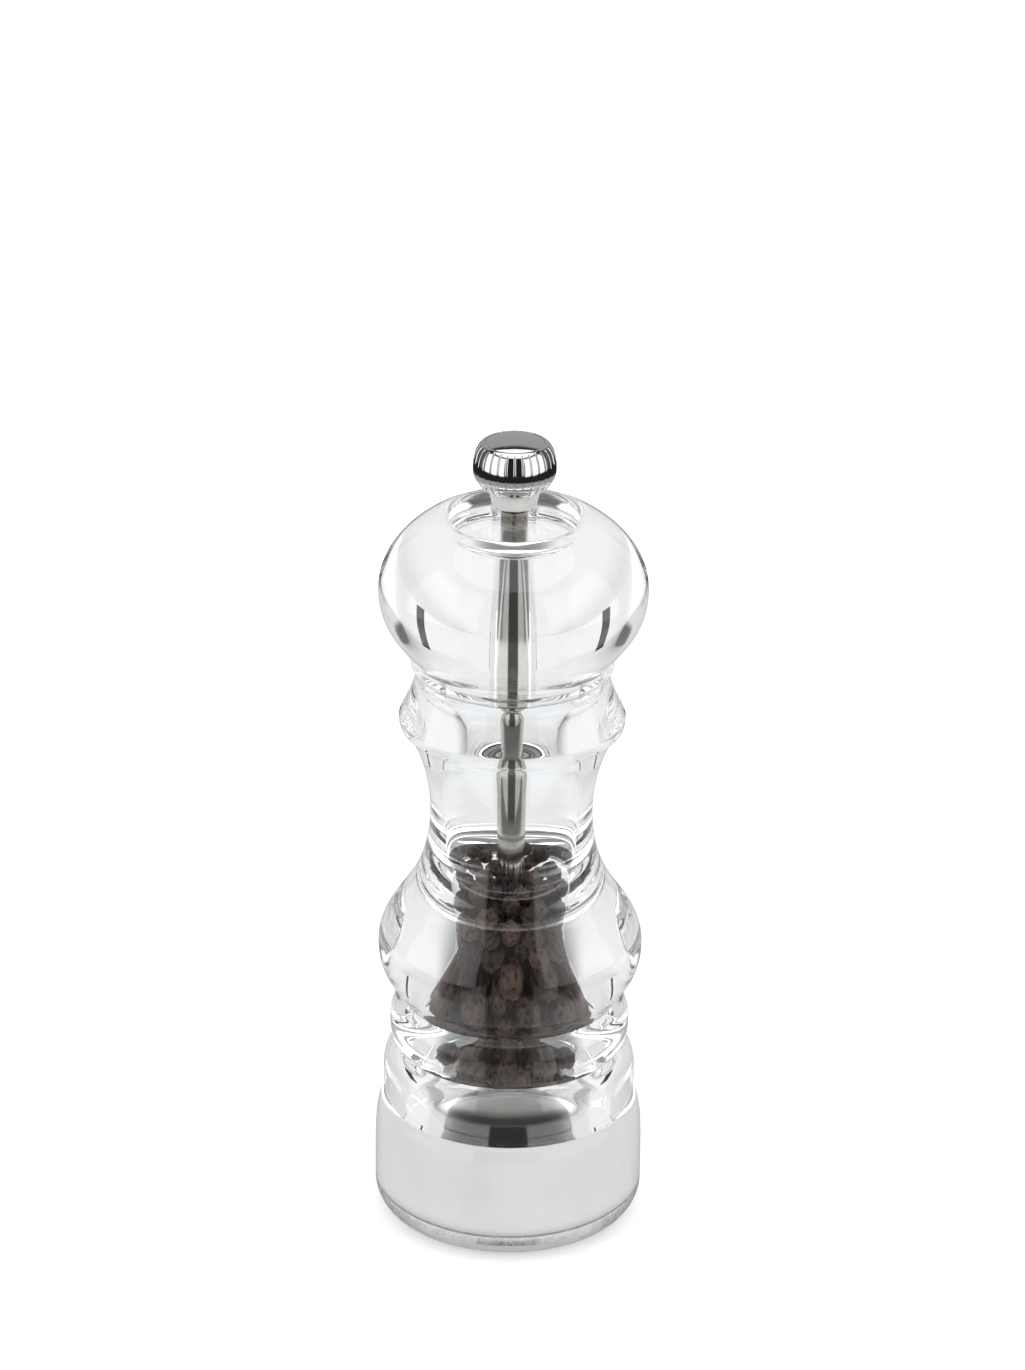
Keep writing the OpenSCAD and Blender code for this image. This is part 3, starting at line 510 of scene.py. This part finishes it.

# Peppercorns.  Black pepper, dried in the sun until the skin wrinkles, 4.3 to 5 mm across, poured into
# the chamber and a little higher at the back left.
# Each corn is its own brown to black, and slightly shiny.  Painted shade darkens its wrinkles, and a
# painted highlight makes its ridges paler.
skin, tree, shader = finish_of("dried black pepper skin", Roughness=0.5, Specular_IOR_Level=0.45)
corn = node(tree, "NewGeometry").node.outputs
# painted shade and highlight: by the skin's pointiness the tone falls to a quarter in the wrinkles and rises
# by a quarter on the ridges
painted_shade_and_highlight = node(tree, "MapRange", corn["Pointiness"], 0.46, 0.54, 0.25, 1.25, **smooth)
own_part, fleck_part = 0.4, 0.6
own = node(tree, "Math", corn["Random Per Island"], own_part, operation="MULTIPLY")
fleck = node(tree, "Math", grain_of(tree, 1.2, 4.0), fleck_part, operation="MULTIPLY")
tone = node(tree, "Math", node(tree, "Math", own, fleck, operation="ADD"), painted_shade_and_highlight, operation="MULTIPLY")
tint = node(tree, "ValToRGB", tone)
for stop, position, code in zip(tint.node.color_ramp.elements, (0.15, 0.85), ("#0B0806", "#6B5241")):
    stop.position, stop.color = position, linear(code)
tree.links.new(tint, shader.inputs["Base Color"])
tree.links.new(node(tree, "Bump", Distance=0.08 * MM, Height=grain_of(tree, 0.5)), shader.inputs["Normal"])

corn_r, smallest, largest = 2.4, 0.9, 1.04
heap_low = 37.2
rise_left, rise_back = 0.12, 0.2
rod_gap, foot_gap, wall_gap = 0.1, 0.05, 0.2
corn_count, tries, wrinkle_kinds = 285, 400, 12
rng = np.random.default_rng(5)
placed = np.empty((0, 4))
while len(placed) < corn_count:
    # each corn takes the lowest of the spots tried, on the corns that it touches or on the funnel, and clear
    # of the wall
    r = corn_r * rng.uniform(smallest, largest)
    away = np.sqrt(rng.uniform((rod_r + rod_gap + r) ** 2, (chamber_foot_r - foot_gap - r) ** 2, tries))
    turn = rng.uniform(0, 2 * math.pi, tries)
    x, y = away * np.cos(turn), away * np.sin(turn)
    flat = (x[:, None] - placed[:, 0]) ** 2 + (y[:, None] - placed[:, 1]) ** 2
    reach = (r + placed[:, 3]) ** 2
    on_corns = placed[:, 2] + np.sqrt(np.maximum(reach - flat, 0))
    on_corns = np.where(flat < reach, on_corns, 0).max(1, initial=0)
    on_funnel = np.interp(away + r, (throat_r, chamber_foot_r), (heap_low, chamber_foot_z)) + r
    z = np.maximum(on_corns, on_funnel)
    wall_r = np.interp(z, (chamber_foot_z, mouth_z), (chamber_foot_r, chamber_top_r))
    z = np.where(away > wall_r - wall_gap - r, np.inf, z)
    pick = np.argmin(z + rise_left * x - rise_back * y)
    placed = np.vstack([placed, (x[pick], y[pick], z[pick], r)])

ball = bmesh.new()
bmesh.ops.create_icosphere(ball, subdivisions=4, radius=1)
unit = np.array([v.co for v in ball.verts])
tris = np.array([[v.index for v in f.verts] for f in ball.faces])
ball.free()


def wrinkled(unit, seed):
    """Radius of a wrinkled corn along each unit direction.

    Sines of the direction, turned and bent by other sines, cross zero in wandering lines.  The skin
    stands up in ridges along the lines and sinks between them, at three sizes."""
    ridge_height, bend = 0.02, 1.7
    turn_rng = np.random.default_rng(seed)
    total = np.zeros(len(unit))
    for scale, weight in ((3.2, 0.06), (5.5, 0.07), (9.0, 0.045)):
        axes = np.linalg.qr(turn_rng.normal(size=(3, 3)))[0]
        p = unit @ axes * scale + turn_rng.uniform(0, 6, 3)
        wave = np.sin(p[:, 0] + bend * np.sin(p[:, 1])) + np.sin(p[:, 1] + bend * np.sin(p[:, 2]))
        total += weight * (1 - np.abs(wave))
    return 1 + ridge_height + total - total.max()


corn_points = []
for number, (x, y, z, r) in enumerate(placed):
    tilt = np.linalg.qr(rng.normal(size=(3, 3)))[0]
    tilt *= np.sign(np.linalg.det(tilt))
    corn_points.append(unit * wrinkled(unit, number % wrinkle_kinds)[:, None] @ tilt.T * r + (x, y, z))
half = corn_count // 2
for part, group in enumerate((corn_points[:half], corn_points[half:])):
    group_tris = (tris + len(unit) * np.arange(len(group))[:, None, None]).reshape(-1, 3)
    corns = solid("peppercorns_%d" % part, np.concatenate(group) * MM, [group_tris], [skin], edge_deg=80)
    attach(corns, "mill_body")
    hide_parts("peppercorns")

# Grinding set.  Cut and stamped steel parts on moulded carriers, held in the drum by screws and a snap
# ring.  These pieces and the knob's brass insert keep the shapes of the frame and take their finishes.
# Hardened burrs are a dull dark grey, cloudy from the heat.
burr, tree, shader = finish_of("hardened burr steel", Metallic=1.0)
vary(tree, shader, "Base Color", grain_of(tree, 1.5), linear("#7B7772"), linear("#979390"))
vary(tree, shader, "Roughness", grain_of(tree, 0.6), 0.25, 0.42)
# The stator's sleeve is turned bright: a dark mirror, with fine rings around it.
sleeve_steel, tree, shader = finish_of("bright turned steel", Base_Color=linear("#575451"), Metallic=1.0)
vary(tree, shader, "Roughness", grain_of(tree, 0.8, 2.0, (0.3, 0.3, 5)), 0.08, 0.14)
# Zinc plate is a pale grey metal, with a soft and slightly patchy shine.
plated, tree, shader = finish_of("zinc-plated steel", Metallic=1.0)
vary(tree, shader, "Base Color", grain_of(tree, 2), linear("#AFAFAE"), linear("#C2C2BF"))
vary(tree, shader, "Roughness", grain_of(tree, 0.7), 0.22, 0.36)
# Moulded acetal is an even white, with the fine grain of its mould, drawn coarser so that it shows.
moulded, tree, shader = finish_of("moulded white acetal", Roughness=0.45)
vary(tree, shader, "Base Color", grain_of(tree, 3), linear("#E9E9E6"), linear("#F2F2EF"))
tree.links.new(node(tree, "Bump", Distance=0.01 * MM, Height=grain_of(tree, 0.3)), shader.inputs["Normal"])
# Turned brass is a warm yellow, with fine rings around it.
brass, tree, shader = finish_of("turned brass", Base_Color=linear("#D8B56A"), Metallic=1.0)
vary(tree, shader, "Roughness", grain_of(tree, 0.6, 2.0, (0.3, 0.3, 5)), 0.18, 0.3)

finishes = {"rotor": burr, "stator": sleeve_steel, "housing": moulded, "drive_bush": moulded,
            "knob_insert": brass, "circlip": plated, "stator_screws": plated, "bearing_bridge": plated,
            "bridge_screws": plated, "thrust_washer": plated, "spring": plated, "rotor_washer": plated,
            "lock_nut": plated}
for name, material in finishes.items():
    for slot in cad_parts[name].material_slots:
        slot.material = material

# Light that enters turned acrylic may turn back many times inside it before it leaves.
scene = bpy.context.scene
scene.cycles.max_bounces = 64
scene.cycles.transmission_bounces = 64
scene.cycles.glossy_bounces = 64
scene.view_settings.view_transform = "Standard"
